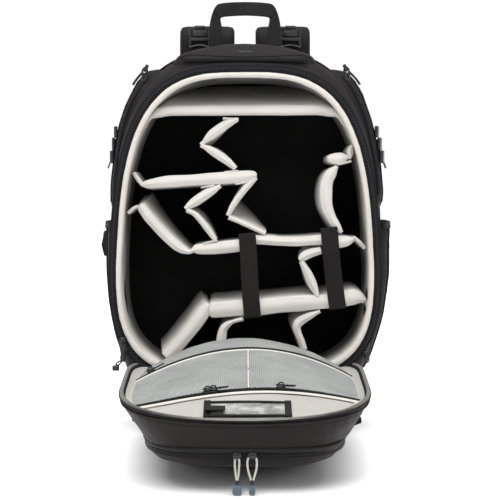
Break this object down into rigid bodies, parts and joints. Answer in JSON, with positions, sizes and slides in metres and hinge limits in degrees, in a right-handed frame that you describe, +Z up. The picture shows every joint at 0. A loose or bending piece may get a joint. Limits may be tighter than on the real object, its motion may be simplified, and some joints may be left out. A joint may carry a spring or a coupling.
{
  "type": "camera backpack",
  "caption": "Camera backpack standing open: a deep padded compartment with dividers, its full front lid zipped off and folded down, with a handle, side pockets and straps.",
  "frame": {"origin": "middle of the shell's flat base, on the floor", "axes": "+Z up, -Y towards the front where the compartment opens, +X to the right as seen from the front"},
  "size_m": [0.4149, 0.6575, 0.619],
  "materials": {
    "shell_fabric": "woven nylon, near black, slightly warm, matt",
    "strap_fabric": "padded strap, near black, matt",
    "back_mesh": "spacer mesh, near black, matt",
    "lining_fabric": "brushed lining, light warm grey, matt",
    "divider_fabric": "brushed padding, light warm grey, matt",
    "dark_lining": "brushed lining, near black, matt",
    "hinge_fabric": "woven nylon, near black, matt",
    "piping": "piping, light warm grey, matt",
    "zip_tape": "coil zip and its tape, black, matt",
    "handle_webbing": "webbing, near black, fine ribs",
    "webbing": "webbing, near black, fine ribs",
    "elastic": "elastic band, black, matt",
    "buckle_plastic": "moulded, black, satin",
    "pull_cord": "braided cord, mid grey, matt",
    "pull_tab": "moulded tab, blue-grey, matt",
    "mesh": "fine net, cool grey, matt",
    "window_frame": "binding, black, matt",
    "clear_window": "clear sheet, glossy"
  },
  "bodies": {
    "root": {"back_lining": "dark_lining", "back_pad_left": "back_mesh", "back_pad_right": "back_mesh", "body_zip": "zip_tape", "compression_buckle_left": "buckle_plastic", "compression_buckle_right": "buckle_plastic", "compression_strap_left": "webbing", "compression_strap_right": "webbing", "divider_bend": "divider_fabric", "divider_centre_fold": "divider_fabric", "divider_hook": "divider_fabric", "divider_knee": "divider_fabric", "divider_left_fold": "divider_fabric", "divider_lower": "divider_fabric", "divider_lower_fold": "divider_fabric", "divider_middle": "divider_fabric", "divider_right": "divider_fabric", "divider_shelf": "divider_fabric", "divider_slope": "divider_fabric", "divider_top": "divider_fabric", "divider_upper_fold": "divider_fabric", "elastic_strap_left": "elastic", "elastic_strap_right": "elastic", "front_pocket": "shell_fabric", "front_pocket_zip": "zip_tape", "front_pull_loop_left": "pull_cord", "front_pull_loop_right": "pull_cord", "front_pull_tab_left": "pull_tab", "front_pull_tab_right": "pull_tab", "handle": "handle_webbing", "hinge_panel": "hinge_fabric", "id_window": "clear_window", "id_window_frame": "window_frame", "ladder_buckle_left": "buckle_plastic", "ladder_buckle_right": "buckle_plastic", "lid_lining": "lining_fabric", "lid_shell": "shell_fabric", "lid_zip": "zip_tape", "lining": "lining_fabric", "load_lifter_left": "webbing", "load_lifter_right": "webbing", "lower_pouch_left": "shell_fabric", "lower_pouch_right": "shell_fabric", "main_zip_pull": "pull_cord", "mesh_pocket_inner": "mesh", "mesh_pocket_outer": "mesh", "mesh_zip_inner": "zip_tape", "mesh_zip_outer": "zip_tape", "rim_piping": "piping", "shell": "shell_fabric", "shoulder_strap_left": "strap_fabric", "shoulder_strap_right": "strap_fabric", "side_tab": "webbing", "side_zip_pull_left": "pull_cord", "side_zip_pull_right": "pull_cord", "top_hood": "shell_fabric", "upper_pouch_left": "shell_fabric", "upper_pouch_right": "shell_fabric"}
  },
  "joints": []
}
